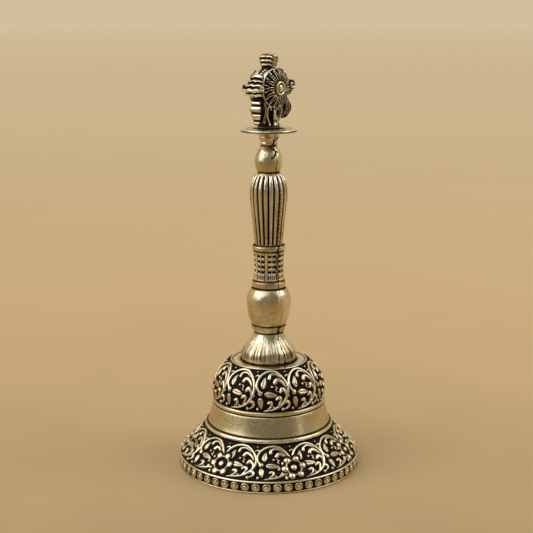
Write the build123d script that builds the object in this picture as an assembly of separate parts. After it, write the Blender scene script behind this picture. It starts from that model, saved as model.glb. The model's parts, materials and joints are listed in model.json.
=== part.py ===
from build123d import *
import os
from math import cos, radians, sin

os.makedirs("parts", exist_ok=True)

# A hand bell for prayer: a flared cast cup, a turned and fluted handle, a round plate and a wheel
# finial. A clapper hangs inside the cup on one loose link.
# Millimetres. +Z is up, z = 0 is the mouth rim that the bell stands on, the axis is x = y = 0,
# and the wheel's face looks towards -Y.

# ---- overall sizes
mouth_radius = 37.0
crown_height = 43.3        # mouth rim to the flat crown the handle stands on
handle_length = 91.4       # crown to the underside of the round plate
grip_radius = 7.53         # widest part of the fluted grip

# ---- cup
wall = 2.3
crown_wall = 2.7
rim_band_height = 3.9
skirt_top_radius = 25.9
skirt_top = 15.7           # height of the skirt's upper edge
waist_radius = 22.35       # at the top of the plain band
bead_height = 2.1          # of the moulding between skirt and plain band
plain_band_height = 8.1
collar_height = 1.9        # of the moulding between plain band and dome
moulding_bulge = 0.5       # how far both mouldings stand out
dome_radius = 22.5
lip_radius = 15.4          # outer edge of the flat crown
lip_width = 0.5
lip_height = 0.25

rim_step = 1.1             # how far the skirt's foot sits in from the rim band
dome_shoulder_radius = 17.15  # where the dome turns in to the flat crown
seat_margin = 1.0          # how far the handle's seat on the crown runs past its foot

# ---- stud, washer and nut that hold the handle on the crown
stud_radius = 1.5
thread_gap = 0.05          # radial room between the stud and each hole it passes
stud_reach = 16.4          # how far the stud goes up into the handle
washer_radius = 4.6
washer_thickness = 0.8
nut_across_flats = 5.5
nut_height = 2.4

# ---- eyes, link and clapper
eye_wire = 0.65            # wire radius of both eyes
eye_ring = 1.7             # radius of an eye's centre line
link_wire = 0.55
running_gap = 0.2          # room between two wires that hang in each other
link_reach = 4.5           # from the wire it hangs on to the wire at its lower end
rod_radius = 1.1
ball_radius = 6.5
ball_flat = 1.95           # radius of the flats at the ball's top and bottom
collar_thickness = 0.6     # of the rod's collar that the ball bears up on
ball_height = 10.6         # of the ball's middle above the mouth
rivet_height = 0.7

# ---- handle
foot_radius = 11.05
foot_height = 2.0          # of the foot's upright edge
reed_count = 20
reed_groove_width = 0.5
reed_groove_depth = 0.55
window_bays = 8
window_rows = 5
window_width = 1.35
window_height = 1.0
window_depth = 0.45
seam_turn = -17            # degrees from -Y, about +Z, to the seam between the two halves

# ---- plate and wheel finial
plate_radius = 11.0
plate_thickness = 1.4
tang_radius = 1.6
tang_length = 5.0
wheel_radius = 7.55
wheel_half_thickness = 2.9
wheel_rim = 0.7            # width of the plain ring round each petalled face
wheel_dome = 2.3           # how far each petalled face swells beyond the wheel's edge
wheel_boss_radius = 2.5
wheel_boss_height = 0.9
wheel_height = 15.6        # of the wheel's middle above the plate's top
petal_count = 16
petal_groove = 0.35
petal_relief = 2.5         # depth of the grooves between petals at the boss
flame_reach = 13.3         # wheel's middle to the top of the top flame
flame_half_width = 2.3
flame_thickness = 6.9
side_flame_reach = 12.2
side_flame_half_width = 4.4
side_flame_thickness = 8.6
ribbon_length = 9.7
ribbon_width = 2.8
ribbon_thickness = 5.0
ribbon_corner = 0.8
ribbon_lean = 4            # degrees
ribbon_x = 7.1             # of a ribbon's middle at its top
ribbon_top = 2.7           # below the wheel's middle
stem_width = 5.2
stem_depth = 4.4
finial_foot_radius = 4.2
finial_foot_height = 1.3

# ---- heights that follow from the sizes above
plate_bottom = crown_height + handle_length
plate_top = plate_bottom + plate_thickness
wheel_z = plate_top + wheel_height
crown_underside = crown_height - crown_wall
washer_bottom = crown_underside - washer_thickness
nut_bottom = washer_bottom - nut_height
eye_z = nut_bottom - 0.5 - eye_ring - eye_wire
link_pivot_z = eye_z - eye_ring
clapper_pivot_z = link_pivot_z - link_reach
wire_spacing = eye_wire + link_wire + running_gap
clapper_eye_z = clapper_pivot_z + wire_spacing - eye_ring


def at(x, z):
    """A point of the XZ plane, where every turned outline is drawn."""
    return (x, 0, z)


def turned(outline_edges):
    """The solid that a closed outline beside the Z axis sweeps in one turn."""
    return revolve(make_face(Wire(outline_edges)), Axis.Z)


def disc(radius, low, high):
    return Pos(0, 0, low) * Cylinder(radius, high - low, align=(Align.CENTER, Align.CENTER, Align.MIN))


def ring_in_xz(ring_radius, wire_radius, z):
    """A round wire ring standing upright in the XZ plane."""
    return Pos(0, 0, z) * Rot(90, 0, 0) * Torus(ring_radius, wire_radius)


# ================================================================ cup
bead_top = skirt_top + bead_height
band_top = bead_top + plain_band_height
dome_base = band_top + collar_height
dome_height = crown_height - dome_base
skirt_low = at(mouth_radius - rim_step, rim_band_height + 0.9)
skirt_high = at(skirt_top_radius, skirt_top)
bead_low = at(skirt_top_radius - 0.7, skirt_top + 0.1)
bead_crest = at(skirt_top_radius - 0.7 + moulding_bulge, skirt_top + bead_height / 2)
bead_high = at(skirt_top_radius - 1.1, bead_top)
waist_mid = at((skirt_top_radius - 1.1 + waist_radius) / 2 - 0.2, (bead_top + band_top) / 2)
waist_high = at(waist_radius, band_top)
collar_crest = at(waist_radius - 0.1 + moulding_bulge, band_top + collar_height / 2)
collar_high = at(waist_radius - 0.1, dome_base)


def dome_point(r, z):
    """A point of the dome at r of its radius and z of its height."""
    return at(r * dome_radius, dome_base + z * dome_height)


dome = [collar_high, dome_point(1.0, 0.17), dome_point(0.985, 0.36), dome_point(0.942, 0.58),
        dome_point(0.858, 0.77), at(dome_shoulder_radius, crown_height - 0.09 * dome_height),
        at(lip_radius + 0.15, crown_height - 0.03 * dome_height)]
crown_level = crown_height - lip_height
seat_radius = foot_radius + seat_margin

bore_radius = stud_radius + thread_gap
inside_rim = at(mouth_radius - wall, 0)
inside_band = at(mouth_radius - wall - 0.5, rim_band_height - 0.6)
inside_skirt = at(skirt_high[0] - 0.85 * wall, skirt_high[2] - 0.7 * wall)
inside_dome = [inside_skirt,
               at(bead_high[0] - wall, bead_high[2]),
               at(waist_mid[0] - wall, waist_mid[2]),
               at(waist_high[0] - wall, waist_high[2]),
               at(dome[2][0] - wall, dome[2][2]),
               at(dome[3][0] - wall, dome[3][2] - 0.2 * wall),
               at(dome[4][0] - wall, dome[4][2] - 0.5 * wall),
               at(dome[5][0] - 1.1 * wall, crown_underside)]

bell_cup = turned([
    Line(inside_rim, at(mouth_radius - 0.4, 0)),
    Line(at(mouth_radius - 0.4, 0), at(mouth_radius, 0.5)),
    Line(at(mouth_radius, 0.5), at(mouth_radius, rim_band_height)),
    Line(at(mouth_radius, rim_band_height), skirt_low),
    Line(skirt_low, skirt_high),
    Line(skirt_high, bead_low),
    ThreePointArc(bead_low, bead_crest, bead_high),
    ThreePointArc(bead_high, waist_mid, waist_high),
    ThreePointArc(waist_high, collar_crest, collar_high),
    Spline(*dome),
    Line(dome[-1], at(lip_radius, crown_height)),
    Line(at(lip_radius, crown_height), at(lip_radius - lip_width, crown_height)),
    Line(at(lip_radius - lip_width, crown_height), at(lip_radius - lip_width, crown_level)),
    Line(at(lip_radius - lip_width, crown_level), at(seat_radius, crown_level)),
    Line(at(seat_radius, crown_level), at(seat_radius, crown_height)),
    Line(at(seat_radius, crown_height), at(bore_radius, crown_height)),
    Line(at(bore_radius, crown_height), at(bore_radius, crown_underside)),
    Line(at(bore_radius, crown_underside), inside_dome[-1]),
    Spline(*reversed(inside_dome)),
    Line(inside_skirt, inside_band),
    Line(inside_band, inside_rim),
])

# ================================================================ washer, nut and eye bolt
crown_washer = disc(washer_radius, washer_bottom, crown_underside)
crown_washer -= disc(bore_radius, washer_bottom - 1, crown_underside + 1)

nut_plan = RegularPolygon(nut_across_flats / 2, 6, major_radius=False)
crown_nut = Pos(0, 0, nut_bottom) * extrude(nut_plan, nut_height)
crown_nut -= disc(bore_radius, nut_bottom - 1, washer_bottom + 1)

# The stud ends at the bottom of the handle's socket, and its collar bears on the nut.
stud_top = crown_height + stud_reach
eye_bolt = disc(stud_radius, eye_z + eye_ring - 0.3, stud_top)
eye_bolt += disc(stud_radius + 0.5, eye_z + eye_ring - 0.2, nut_bottom)
eye_bolt += ring_in_xz(eye_ring, eye_wire, eye_z)

# ================================================================ link and clapper
# The link is a long ring in the YZ plane. Each end is an arc about the wire it bears on.
link_top = Pos(0, 0, link_pivot_z) * Rot(0, 90, 0) * Torus(wire_spacing, link_wire)
link_low = Pos(0, 0, clapper_pivot_z + wire_spacing) * Rot(0, 90, 0) * Torus(wire_spacing, link_wire)
link_end_z = clapper_pivot_z + wire_spacing
link_mid = (link_pivot_z + link_end_z) / 2
clapper_link = link_top & Pos(0, 0, link_pivot_z + 5) * Box(10, 10, 10)
clapper_link += link_low & Pos(0, 0, link_end_z - 5) * Box(10, 10, 10)
for side in (-1, 1):
    clapper_link += Pos(0, side * wire_spacing, link_mid) * Cylinder(link_wire, link_pivot_z - link_end_z)

# The clapper's eye and rod are one forging. The ball is held between a collar and a rivet head.
half_ball = (ball_radius ** 2 - ball_flat ** 2) ** 0.5
ball_bottom = ball_height - half_ball
ball_top = ball_height + half_ball
clapper_rod = ring_in_xz(eye_ring, eye_wire, clapper_eye_z)
clapper_rod += disc(rod_radius, ball_bottom, clapper_eye_z - eye_ring + 0.2)
clapper_rod += disc(ball_flat - 0.1, ball_top, ball_top + collar_thickness)
clapper_rod += disc(ball_flat - 0.1, ball_bottom - rivet_height, ball_bottom)

clapper_ball = Pos(0, 0, ball_height) * Sphere(ball_radius)
clapper_ball &= disc(ball_radius + 1, ball_bottom, ball_top)
clapper_ball -= disc(rod_radius + thread_gap, ball_bottom - 1, ball_top + 1)


# ================================================================ handle
def on_handle(r, z):
    """A point at r of the grip's radius and z of the handle's length above the crown."""
    return at(r * grip_radius, crown_height + z * handle_length)


foot = [at(foot_radius, crown_height + foot_height),
        at(foot_radius - 0.3, crown_height + 0.045 * handle_length),
        on_handle(1.160, 0.069), on_handle(0.914, 0.096), on_handle(0.792, 0.124)]
cup_ring_low = on_handle(0.823, 0.130)
cup_ring_high = on_handle(0.926, 0.157)
bulb = [on_handle(0.971, 0.165), on_handle(1.121, 0.215), on_handle(1.178, 0.260),
        on_handle(1.110, 0.293), on_handle(0.903, 0.324)]
window_band = [on_handle(0.837, 0.361), on_handle(0.778, 0.395), on_handle(0.768, 0.415),
               on_handle(0.790, 0.450), on_handle(0.833, 0.487)]
grip = [on_handle(0.752, 0.520), on_handle(0.853, 0.611), on_handle(0.956, 0.673),
        on_handle(1.000, 0.738), on_handle(0.930, 0.777), on_handle(0.790, 0.802), on_handle(0.586, 0.826)]
pear = [on_handle(0.586, 0.832), on_handle(0.700, 0.860), on_handle(0.720, 0.880),
        on_handle(0.600, 0.910), on_handle(0.430, 0.934)]
neck_ring_low = on_handle(0.466, 0.953)
neck_ring_high = on_handle(0.540, 0.975)
handle_top = on_handle(0.570, 1.0)


def groove_joint(low, high, depth=0.35):
    """Three edges of a fine turned groove between two neighbouring mouldings."""
    bottom = min(low[0], high[0]) - depth
    return [Line(low, at(bottom, low[2])), Line(at(bottom, low[2]), at(bottom, high[2])),
            Line(at(bottom, high[2]), high)]


lower_band_low = on_handle(0.876, 0.328)
lower_band_high = on_handle(0.876, 0.355)
upper_band_low = on_handle(0.871, 0.492)
upper_band_high = on_handle(0.871, 0.513)
handle = turned([
    Line(at(0, crown_height), at(foot[0][0], crown_height)),
    Line(at(foot[0][0], crown_height), foot[0]),
    Spline(*foot),
    Line(foot[-1], cup_ring_low),
    Line(cup_ring_low, cup_ring_high),
    *groove_joint(cup_ring_high, bulb[0]),
    Spline(*bulb),
    *groove_joint(bulb[-1], lower_band_low),
    Line(lower_band_low, lower_band_high),
    *groove_joint(lower_band_high, window_band[0], 0.1),
    Spline(*window_band),
    *groove_joint(window_band[-1], upper_band_low, 0.1),
    Line(upper_band_low, upper_band_high),
    *groove_joint(upper_band_high, grip[0], 0.1),
    Spline(*grip),
    *groove_joint(grip[-1], pear[0], 0.2),
    Spline(*pear),
    Line(pear[-1], neck_ring_low),
    Line(neck_ring_low, neck_ring_high),
    Line(neck_ring_high, handle_top),
    Line(handle_top, at(0, plate_bottom)),
    Line(at(0, plate_bottom), at(0, crown_height)),
])

# Reeds: one narrow groove between each pair, fading out under the grip's smooth cap. One groove
# lies on the seam.
groove_floor = [at(p[0] - reed_groove_depth, p[2]) for p in grip[:-2]]
groove_end = at(grip[-2][0] + 0.2, grip[-2][2])
outer = grip_radius + 3
groove_face = make_face(Wire([
    Spline(*groove_floor),
    Line(groove_floor[-1], groove_end),
    Line(groove_end, at(outer, groove_end[2])),
    Line(at(outer, groove_end[2]), at(outer, grip[0][2])),
    Line(at(outer, grip[0][2]), groove_floor[0]),
]))
groove_cutter = extrude(groove_face, reed_groove_width / 2, both=True)
reed_pitch = 360 / reed_count
first_groove = seam_turn - 90
grooves = [Rot(0, 0, first_groove + i * reed_pitch) * groove_cutter for i in range(reed_count)]

# Lattice: bays of small paired windows sunk into the waisted band, with upright bars between bays.
window_pitch = (window_band[-1][2] - window_band[0][2] - 2 * window_height) / window_rows
bay_angle = 360 / window_bays
windows = []
for bay in range(window_bays):
    for half in (-1, 1):
        turn = seam_turn - 90 + (bay + 0.5) * bay_angle + half * 0.19 * bay_angle
        for row in range(window_rows):
            z = window_band[0][2] + 2 * window_height + (row + 0.5) * window_pitch
            window = Pos(window_band[2][0] - window_depth + 2, 0, z) * Box(4, window_width, window_height)
            windows.append(Rot(0, 0, turn) * window)

handle -= grooves
handle -= windows
handle -= disc(bore_radius, crown_height - 1, stud_top)
handle -= disc(tang_radius + thread_gap, plate_bottom - tang_length, plate_bottom + 1)

# The handle is cast as two halves, brazed together along a plane through the axis.
big = 4 * handle_length
left_side = Rot(0, 0, seam_turn) * Pos(-big / 2, 0, 0) * Box(big, big, big)
right_side = Rot(0, 0, seam_turn) * Pos(big / 2, 0, 0) * Box(big, big, big)
handle_left_half = handle & left_side
handle_right_half = handle & right_side

# ================================================================ plate
top_plate = disc(plate_radius, plate_bottom, plate_top)
top_plate = chamfer(top_plate.edges().filter_by(GeomType.CIRCLE), 0.25)
top_plate -= disc(tang_radius + thread_gap, plate_bottom - 1, plate_top + 1)


# ================================================================ wheel finial
def wheel_axis_turned(outline):
    """Turn an outline, given as (radius, distance in front of the wheel's middle), about the hub."""
    points = [(r, -d, 0) for r, d in outline]
    face = make_face(Wire([Line(a, b) for a, b in zip(points, points[1:] + points[:1])]))
    return Pos(0, 0, wheel_z) * revolve(face, Axis.Y)


front_outline = [(0, 0), (wheel_radius, 0), (wheel_radius, wheel_half_thickness)]
for step in range(1, 7):
    across = radians(15 * step)
    r = wheel_boss_radius + (wheel_radius - wheel_rim - wheel_boss_radius) * cos(across)
    front_outline.append((r, wheel_half_thickness + wheel_dome * sin(across)))
boss_face = wheel_half_thickness + wheel_dome + wheel_boss_height
front_outline += [(wheel_boss_radius, boss_face - 0.3), (wheel_boss_radius - 0.5, boss_face), (0, boss_face)]
front_disc = wheel_axis_turned(front_outline)
wheel = front_disc + Rot(0, 0, 180) * front_disc

# Petals: a groove between each pair, cut into both domed faces from the boss out to the edge.
petal_cutters = []
groove_start = wheel_boss_radius + 0.3
groove_stop = wheel_radius + 0.1
groove_low = wheel_half_thickness + 0.5
groove_high = groove_low + 2 * petal_relief
for i in range(petal_count):
    for face_side in (-1, 1):
        cutter = Pos((groove_start + groove_stop) / 2, face_side * (groove_low + groove_high) / 2, 0)
        cutter *= Box(groove_stop - groove_start, groove_high - groove_low, petal_groove)
        petal_cutters.append(Pos(0, 0, wheel_z) * Rot(0, (i + 0.5) * 360 / petal_count, 0) * cutter)
wheel -= petal_cutters


def flame(tip, half_width, root, thickness):
    """A blunt flame standing on the wheel's edge, drawn pointing up from the wheel's middle."""
    rise = tip - root
    right = [(0.6 * half_width, 0, root), (half_width, 0, root + 0.35 * rise),
             (0.8 * half_width, 0, root + 0.75 * rise), (0, 0, tip)]
    left = [(-x, y, z) for x, y, z in reversed(right)]
    outline = make_face(Wire([Line(left[-1], right[0]), Spline(*right), Spline(*left)]))
    return extrude(outline, thickness / 2, both=True)


top_flame = flame(flame_reach, flame_half_width, wheel_radius - 0.8, flame_thickness)
side_flame = flame(side_flame_reach, side_flame_half_width, wheel_radius - 1.6, side_flame_thickness)
chakra_finial = wheel + Pos(0, 0, wheel_z) * top_flame
for turn in (-90, 90):
    chakra_finial += Pos(0, 0, wheel_z) * Rot(0, turn, 0) * side_flame

# Ribbons: a short folded scarf hangs from under each side flame.
for side in (-1, 1):
    ribbon = Pos(0, 0, -ribbon_length / 2) * Box(ribbon_width, ribbon_thickness, ribbon_length)
    ribbon = fillet(ribbon.edges().filter_by(Axis.Z), ribbon_corner)
    chakra_finial += Pos(side * ribbon_x, 0, wheel_z - ribbon_top) * Rot(0, -side * ribbon_lean, 0) * ribbon

# Stem, foot and tang under the wheel. The foot rests on the plate and the tang passes through it.
stem_height = wheel_height - wheel_radius + 1.2
chakra_finial += disc(finial_foot_radius, plate_top, plate_top + finial_foot_height)
chakra_finial += Pos(0, 0, plate_top + stem_height / 2) * Box(stem_width, stem_depth, stem_height)
chakra_finial += disc(tang_radius, plate_bottom - tang_length, plate_top + finial_foot_height / 2)

# ================================================================ export
nodes = {
    "bell_cup": bell_cup,
    "crown_washer": crown_washer,
    "crown_nut": crown_nut,
    "eye_bolt": eye_bolt,
    "clapper_link": clapper_link,
    "clapper_rod": clapper_rod,
    "clapper_ball": clapper_ball,
    "handle_left_half": handle_left_half,
    "handle_right_half": handle_right_half,
    "top_plate": top_plate,
    "chakra_finial": chakra_finial,
}
for name, shape in nodes.items():
    export_step(shape, f"parts/{name}.step")
    box = shape.bounding_box()
    print(f"{name}: solids {len(shape.solids())}, volume {shape.volume:.1f} mm3,",
          f"x {box.min.X:.2f} {box.max.X:.2f}, z {box.min.Z:.2f} {box.max.Z:.2f}")
print(f"link pivot z {link_pivot_z:.3f}, clapper pivot z {clapper_pivot_z:.3f}, ball z {ball_height:.3f}")
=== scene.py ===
import json
from math import cos, pi, radians, sin, tau

import bpy
import numpy as np
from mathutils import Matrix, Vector

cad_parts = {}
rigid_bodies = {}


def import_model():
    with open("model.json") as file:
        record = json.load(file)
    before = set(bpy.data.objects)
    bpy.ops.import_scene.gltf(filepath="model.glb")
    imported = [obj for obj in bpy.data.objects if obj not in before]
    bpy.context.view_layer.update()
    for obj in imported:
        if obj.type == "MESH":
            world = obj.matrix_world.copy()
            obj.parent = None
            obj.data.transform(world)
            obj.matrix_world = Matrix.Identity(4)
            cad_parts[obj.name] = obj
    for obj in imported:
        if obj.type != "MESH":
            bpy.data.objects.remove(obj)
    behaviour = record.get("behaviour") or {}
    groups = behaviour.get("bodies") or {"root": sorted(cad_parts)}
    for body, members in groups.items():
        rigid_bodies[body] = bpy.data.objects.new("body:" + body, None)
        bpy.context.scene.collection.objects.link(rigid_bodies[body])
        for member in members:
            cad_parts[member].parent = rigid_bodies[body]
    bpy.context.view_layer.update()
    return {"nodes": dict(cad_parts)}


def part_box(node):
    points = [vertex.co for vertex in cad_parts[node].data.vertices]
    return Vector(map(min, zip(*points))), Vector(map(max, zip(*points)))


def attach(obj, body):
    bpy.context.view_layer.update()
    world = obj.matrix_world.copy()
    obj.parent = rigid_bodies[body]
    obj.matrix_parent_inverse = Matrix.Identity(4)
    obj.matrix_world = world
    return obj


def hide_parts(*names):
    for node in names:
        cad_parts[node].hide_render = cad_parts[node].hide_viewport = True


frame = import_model()

# All shapes below are worked out in millimetres in the CAD's frame: +Z up, mouth rim at z = 0,
# the wheel's face towards -Y. Azimuth 0 is -Y and azimuth 90 is +X.
MM = 0.001
VIEW_AZIMUTH = -52.0       # degrees: where the photograph was taken from


def node_mm(node):
    low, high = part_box(node)
    return np.array(low) / MM, np.array(high) / MM


cup_high = node_mm("bell_cup")[1]
plate_low, plate_high = node_mm("top_plate")
finial_high = node_mm("chakra_finial")[1]
MOUTH_R = cup_high[0]
CROWN_Z = cup_high[2]
PLATE_Z0 = plate_low[2]
PLATE_Z1 = plate_high[2]
PLATE_R = plate_high[0]
TIP_Z = finial_high[2]
HANDLE_L = PLATE_Z0 - CROWN_Z


# ================ mesh helpers
def placed(name, data):
    obj = bpy.data.objects.new(name, data)
    bpy.context.scene.collection.objects.link(obj)
    return obj


def new_object(name, verts, faces, tone, slot):
    """A mesh object from millimetre points, fixed to the bell.

    tone runs from 0 in blackened hollows and painted shade to 1 on worn crests and painted highlights."""
    mesh = bpy.data.meshes.new(name)
    mesh.from_pydata((np.asarray(verts, float) * MM).tolist(), [], faces)
    mesh.attributes.new("tone", "FLOAT", "POINT").data.foreach_set("value", np.asarray(tone, np.float32))
    mesh.polygons.foreach_set("use_smooth", [True] * len(mesh.polygons))
    mesh.update()
    obj = placed(name, mesh)
    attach(obj, "bell")
    return obj


def grid_faces(rows, cols, wrap_rows=False, wrap_cols=False):
    """Quads of a grid of points stored row by row."""
    last_row = rows if wrap_rows else rows - 1
    last_col = cols if wrap_cols else cols - 1
    i = np.arange(last_row)[:, None]
    j = np.arange(last_col)[None, :]
    i1 = (i + 1) % rows
    j1 = (j + 1) % cols
    quads = np.stack([i * cols + j, i * cols + j1, i1 * cols + j1, i1 * cols + j], axis=-1)
    return quads.reshape(-1, 4).tolist()


def end_faces(rows, cols):
    """One face for each end of a stack of rings."""
    return [list(range(cols - 1, -1, -1)), list(range((rows - 1) * cols, rows * cols))]


def around(azimuth, r, z):
    """Points at azimuth (radians), radius and height."""
    azimuth, r, z = np.broadcast_arrays(azimuth, r, z)
    return np.stack([r * np.sin(azimuth), -r * np.cos(azimuth), z], axis=-1)


def smoothstep(low, high, x):
    t = np.clip((x - low) / (high - low), 0, 1)
    return t * t * (3 - 2 * t)


def curve_through(points, per_span):
    """A smooth curve through given points of any number of values each (Catmull-Rom)."""
    p = np.array(points, float)
    p = np.vstack([2 * p[0] - p[1], p, 2 * p[-1] - p[-2]])
    out = []
    for a, b, c, d in zip(p[:-3], p[1:-2], p[2:-1], p[3:]):
        for t in np.arange(per_span) / per_span:
            out.append(0.5 * (2 * b + (c - a) * t + (2 * a - 5 * b + 4 * c - d) * t * t
                              + (3 * b - a - 3 * c + d) * t ** 3))
    out.append(p[-2])
    return np.array(out)


def by_length(points, count):
    """The same line as count evenly spaced points, and its length."""
    p = np.array(points, float)
    run = np.r_[0, np.cumsum(np.linalg.norm(np.diff(p[:, :2], axis=0), axis=1))]
    at = np.linspace(0, run[-1], count)
    return np.stack([np.interp(at, run, p[:, k]) for k in range(p.shape[1])], axis=1), run[-1]


def blurred(field, cells):
    """A soft blur that wraps along the columns and stops at the first and last row."""
    reach = int(3 * cells)
    weights = np.exp(-0.5 * (np.arange(-reach, reach + 1) / cells) ** 2)
    weights /= weights.sum()
    padded = np.pad(field, ((reach, reach), (0, 0)), mode="edge")
    out = sum(w * padded[k:k + field.shape[0]] for k, w in enumerate(weights))
    return sum(w * np.roll(out, k - reach, axis=1) for k, w in enumerate(weights))


def speckle(shape, cells, seed):
    """Even, wrapped random relief between about -1 and 1, with grains a few cells wide."""
    field = np.random.default_rng(seed).standard_normal(shape)
    field = blurred(field, cells)
    return field / (2.5 * field.std())


def turned(outline, segments, wobble=0.0):
    """Points, faces and tones of a closed outline of (radius, height, tone), turned about the axis.

    The outline's last point joins its first. wobble is how far the radius strays, in mm."""
    az = np.arange(segments) * tau / segments
    r = outline[:, 0][:, None] + wobble * speckle((len(outline), segments), cells=4, seed=1)
    points = around(az[None, :], r, outline[:, 1][:, None]).reshape(-1, 3)
    faces = grid_faces(len(outline), segments, wrap_rows=True, wrap_cols=True)
    return points, faces, np.repeat(outline[:, 2], segments)


# ================ ornament
STROKE_SWELL = 1.17        # how much wider the cast strokes are than they are drawn below
THINNEST_STROKE = 0.08     # mm, half width
MIDRIB_WIDTH = 0.26        # mm
FAR_SQUARED = 9.0          # mm squared: too far from a line for it to show


def stroke_field(across_grid, up_grid, stroke, pitch_mm, length_mm, midrib):
    """Height (0 to 1) of one half-round stroke. Its points are (across, up, half width in mm)."""
    field = np.zeros(across_grid.shape)
    middle = np.full(across_grid.shape, FAR_SQUARED)
    points = curve_through(stroke, 10) if len(stroke) > 1 else stroke
    for across, up, half in points:
        half = max(STROKE_SWELL * half, THINNEST_STROKE)
        dx = (across_grid - across) * pitch_mm
        dy = (up_grid - up) * length_mm
        square = dx * dx + dy * dy
        field = np.maximum(field, np.clip(1 - square / half ** 2, 0, None) * min(1, 0.6 + half))
        middle = np.minimum(middle, square)
    field = np.minimum(field, 1) ** 0.55
    return field * (1 - midrib * np.exp(-middle / MIDRIB_WIDTH ** 2))


# One motif of the vine: a scroll that rises from a ball on its left, passes over the top and sweeps
# round to its foot, with buds, leaves and commas inside it. Across is in pitches, up in band heights.
SCROLL = [(-0.35, 0.43, 0.5), (-0.45, 0.53, 0.52), (-0.47, 0.63, 0.56), (-0.43, 0.75, 0.56),
          (-0.33, 0.85, 0.55), (-0.18, 0.92, 0.54), (0, 0.945, 0.54), (0.18, 0.91, 0.56),
          (0.33, 0.8, 0.58), (0.43, 0.665, 0.6), (0.47, 0.53, 0.62), (0.44, 0.39, 0.64),
          (0.36, 0.265, 0.62), (0.24, 0.16, 0.58), (0.07, 0.085, 0.48), (-0.1, 0.05, 0.34),
          (-0.25, 0.03, 0.15)]
INSIDE = [
    [(-0.35, 0.425, 1.05)],
    [(-0.09, 0.765, 0.78), (-0.063, 0.83, 0.62), (0.042, 0.87, 0.48), (0.16, 0.85, 0.38),
     (0.284, 0.77, 0.2)],
    [(0.09, 0.665, 0.86), (0.147, 0.725, 0.82), (0.253, 0.71, 0.72), (0.347, 0.63, 0.52),
     (0.406, 0.53, 0.16)],
    [(0.235, 0.455, 0.62), (0.295, 0.515, 0.86), (0.368, 0.465, 0.64), (0.4, 0.385, 0.46),
     (0.368, 0.265, 0.3)],
    [(0.116, 0.295, 0.5), (0.19, 0.335, 0.74), (0.242, 0.29, 0.62), (0.205, 0.21, 0.44),
     (0.147, 0.14, 0.16)],
    [(-0.115, 0.215, 0.55), (-0.05, 0.23, 0.72), (-0.02, 0.18, 0.58), (-0.06, 0.12, 0.4),
     (-0.137, 0.075, 0.15)],
    [(-0.62, 0.235, 0.7), (-0.545, 0.215, 0.72), (-0.525, 0.15, 0.52), (-0.58, 0.1, 0.38),
     (-0.663, 0.07, 0.14)],
    [(-0.8, 0.165, 0.2), (-0.755, 0.16, 0.6), (-0.71, 0.18, 0.25)],
    [(-0.415, 0.07, 0.62)],
    [(0.295, 0.065, 0.74)],
    [(-0.006, 0.57, 0.55)],
    [(0.035, 0.125, 0.4)],
    [(-0.535, 0.8, 0.34), (-0.47, 0.83, 0.42), (-0.41, 0.8, 0.34)],
    [(-0.5, 0.92, 0.36)],
    [(-0.515, 0.36, 0.32)],
    [(0.15, 0.46, 0.22), (0.1, 0.5, 0.26), (0.14, 0.54, 0.24), (0.09, 0.58, 0.22)],
]
LEAVES = [
    [(-0.262, 0.565, 0.8), (-0.265, 0.62, 1.15), (-0.243, 0.7, 0.74), (-0.215, 0.8, 0.12)],
    [(-0.165, 0.405, 0.85), (-0.09, 0.4, 1.25), (0.04, 0.385, 0.85), (0.15, 0.36, 0.14)],
    [(-0.335, 0.275, 0.95), (-0.33, 0.225, 1.12), (-0.318, 0.145, 0.7), (-0.31, 0.065, 0.14)],
]
MIDRIB = 0.34              # how deep a leaf's middle line is cut, as a share of the relief
STROKES = [(stroke, 0.0) for stroke in [SCROLL] + INSIDE] + [(leaf, MIDRIB) for leaf in LEAVES]


def motif_field(across, up, pitch_mm, length_mm, centres):
    """The vine's motif repeated at each centre (in pitches). Each column of across is one azimuth."""
    shape = np.broadcast(across, up).shape
    field = np.zeros(shape)
    for centre in centres:
        near = np.abs(across[0] - centre) < 1.0
        local = np.broadcast_to(across, shape)[:, near] - centre
        height = np.broadcast_to(up, shape)[:, near]
        pitch = np.broadcast_to(pitch_mm, shape)[:, near]
        for stroke, midrib in STROKES:
            part = stroke_field(local, height, stroke, pitch, length_mm, midrib)
            field[:, near] = np.maximum(field[:, near], part)
    return field


BACKING = 1.0              # mm from a ring of relief to its back, which lies inside the cup's wall


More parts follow.
